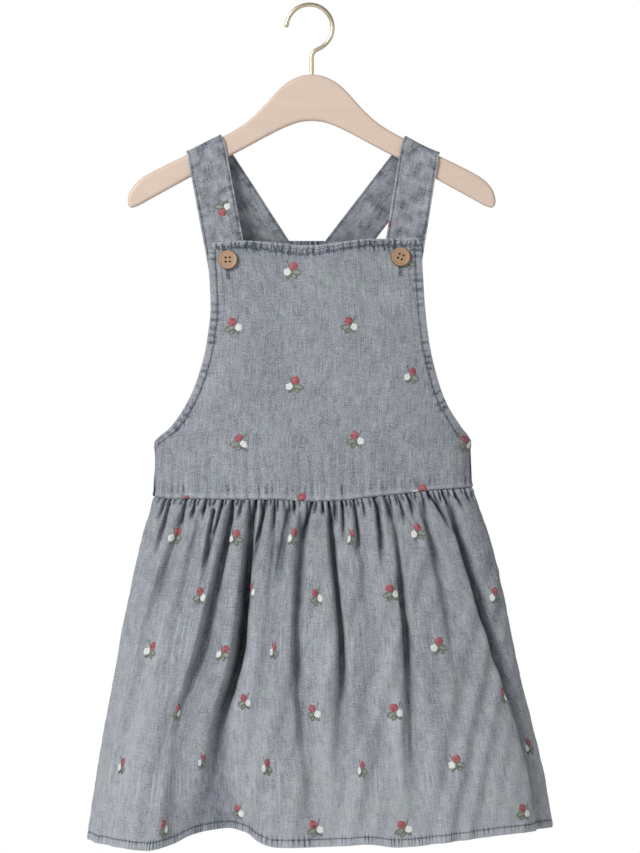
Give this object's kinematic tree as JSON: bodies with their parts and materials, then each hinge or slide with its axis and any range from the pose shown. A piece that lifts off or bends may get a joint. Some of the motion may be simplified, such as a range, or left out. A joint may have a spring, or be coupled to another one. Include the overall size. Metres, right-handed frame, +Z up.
{
  "type": "pinafore dress on hanger",
  "caption": "Child's pinafore dress with a bib, two buttoned shoulder straps and a gathered skirt, hanging on a flat wooden hanger with a brass hook.",
  "frame": {"origin": "inside top of the hanger's hook, where it sits on a rail", "axes": "+Z up, -Y out of the dress's front, +X to the right of someone who looks at the front"},
  "size_m": [0.4337, 0.1202, 0.7837],
  "materials": {
    "chambray": "washed grey-blue plain weave",
    "button_wood": "smooth, lightly waxed",
    "hanger_wood": "pale, satin lacquer",
    "brass_wire": "polished pale brass"
  },
  "bodies": {
    "root": {"bodice_front": "chambray", "bodice_back": "chambray", "skirt_front": "chambray", "skirt_back": "chambray", "strap_left": "chambray", "strap_right": "chambray", "button_left": "button_wood", "button_right": "button_wood", "hanger_wood": "hanger_wood", "hanger_hook": "brass_wire"}
  },
  "joints": []
}
